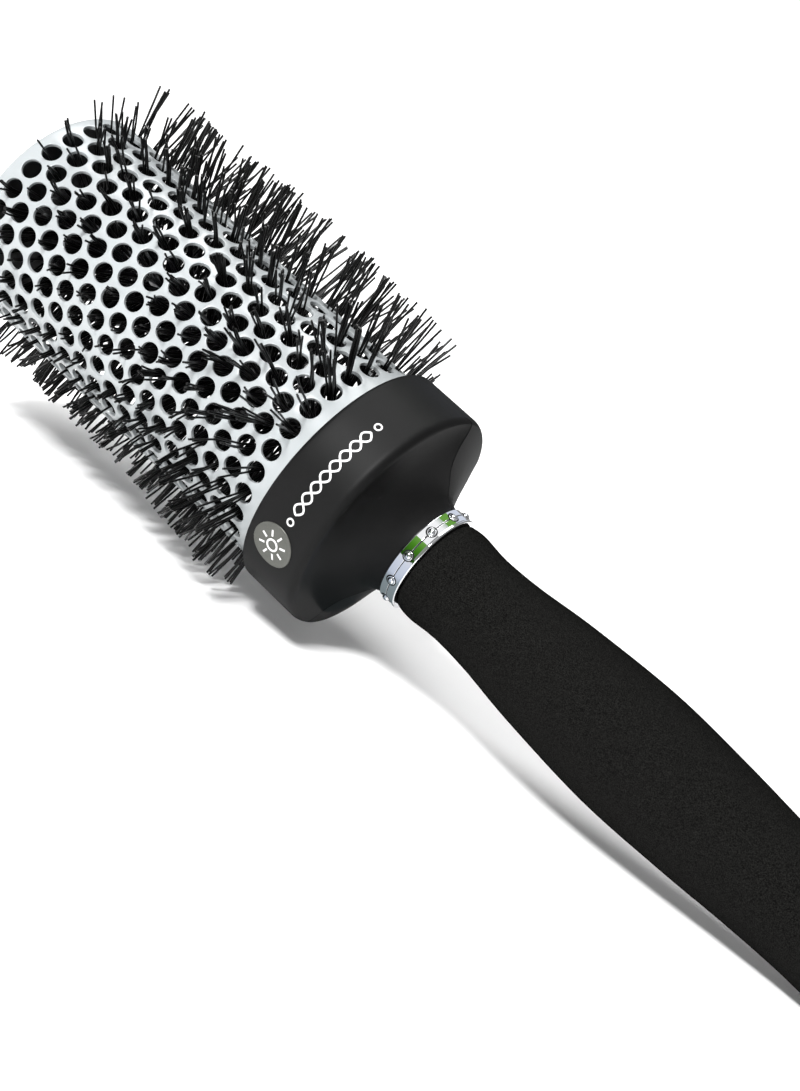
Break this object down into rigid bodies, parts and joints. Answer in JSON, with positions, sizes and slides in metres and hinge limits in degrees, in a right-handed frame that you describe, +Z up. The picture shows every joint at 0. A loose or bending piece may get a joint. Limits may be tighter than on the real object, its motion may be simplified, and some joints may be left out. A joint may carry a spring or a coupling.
{
  "type": "round barrel brush",
  "caption": "Thermal round hair brush: perforated white barrel with nylon tufts through its holes, scooped shoulder, chromed neck ring and foam-sleeved handle.",
  "frame": {"origin": "centre of the brush's footprint as it lies on a table on its bristle tips and butt cap, at table height", "axes": "+X from the barrel's free end towards the butt of the handle, +Z up; the brush's own axis leans down by 8.98 degrees towards +X"},
  "size_m": [0.2564, 0.081, 0.0885],
  "materials": {
    "ceramic_coat": "glossy white ceramic coating on thin metal",
    "cap_plastic": "moulded black, satin",
    "core_steel": "drawn twisted wire",
    "screw_steel": "plated",
    "soft_touch": "black soft-touch lacquer",
    "badge": "warm grey satin metallic",
    "emblem_white": "white print, slightly raised",
    "print_white": "white print",
    "chrome": "mirror polished",
    "stud_chrome": "mirror polished",
    "core_plastic": "moulded",
    "foam": "fine-grained closed-cell foam, matt",
    "bristle_nylon": "black nylon filament"
  },
  "bodies": {
    "root": {"barrel_tube": "ceramic_coat", "tip_cap": "cap_plastic", "core_wire": "core_steel", "bristle_ring_01": "bristle_nylon", "bristle_ring_02": "bristle_nylon", "bristle_ring_03": "bristle_nylon", "bristle_ring_04": "bristle_nylon", "bristle_ring_05": "bristle_nylon", "bristle_ring_06": "bristle_nylon", "bristle_ring_07": "bristle_nylon", "bristle_ring_08": "bristle_nylon", "bristle_ring_09": "bristle_nylon", "bristle_ring_10": "bristle_nylon", "bristle_ring_11": "bristle_nylon", "bristle_ring_12": "bristle_nylon", "bristle_ring_13": "bristle_nylon", "bristle_ring_14": "bristle_nylon", "bristle_ring_15": "bristle_nylon", "bristle_ring_16": "bristle_nylon", "bristle_ring_17": "bristle_nylon", "bristle_ring_18": "bristle_nylon", "barrel_plug": "cap_plastic", "plug_screws": "screw_steel", "shoulder_shell": "soft_touch", "badge_disc": "badge", "badge_emblem": "emblem_white", "band_print": "print_white", "neck_ring_front": "chrome", "neck_ring_rear": "chrome", "ring_studs": "stud_chrome", "ring_liner": "cap_plastic", "handle_core": "core_plastic", "cross_pin": "screw_steel", "foam_grip": "foam", "butt_cap": "soft_touch"}
  },
  "joints": []
}
